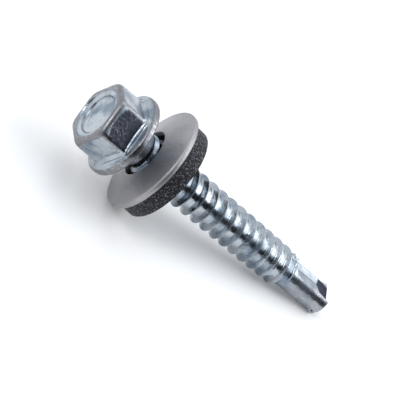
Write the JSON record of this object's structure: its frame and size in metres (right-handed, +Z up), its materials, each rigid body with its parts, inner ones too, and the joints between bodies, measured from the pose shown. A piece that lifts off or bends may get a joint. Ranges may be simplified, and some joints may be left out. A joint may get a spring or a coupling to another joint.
{
  "type": "self drilling screw",
  "caption": "Hexagon flange-head self drilling screw with a loose bonded metal and rubber sealing washer on its shank.",
  "frame": {"origin": "middle of the underside of the bounding box, on the surface that the screw lies on", "axes": "+X from the head towards the drill point, level; +Z up; the screw's own axis dips 9.9 degrees below +X"},
  "size_m": [0.0438, 0.0144, 0.0144],
  "materials": {
    "zinc_plated_screw": "bright zinc plate, bluish",
    "zinc_plated_washer": "satin zinc plate",
    "black_rubber": "matt black, speckled"
  },
  "bodies": {
    "screw": {"screw": "zinc_plated_screw"},
    "sealing_washer": {"metal_washer": "zinc_plated_washer", "rubber_seal": "black_rubber"}
  },
  "joints": [
    {"name": "washer_slide", "type": "slide", "parent": "screw", "child": "sealing_washer", "axis": [-0.985, 0, 0.1724], "range_m": [0, 0.0024]}
  ]
}
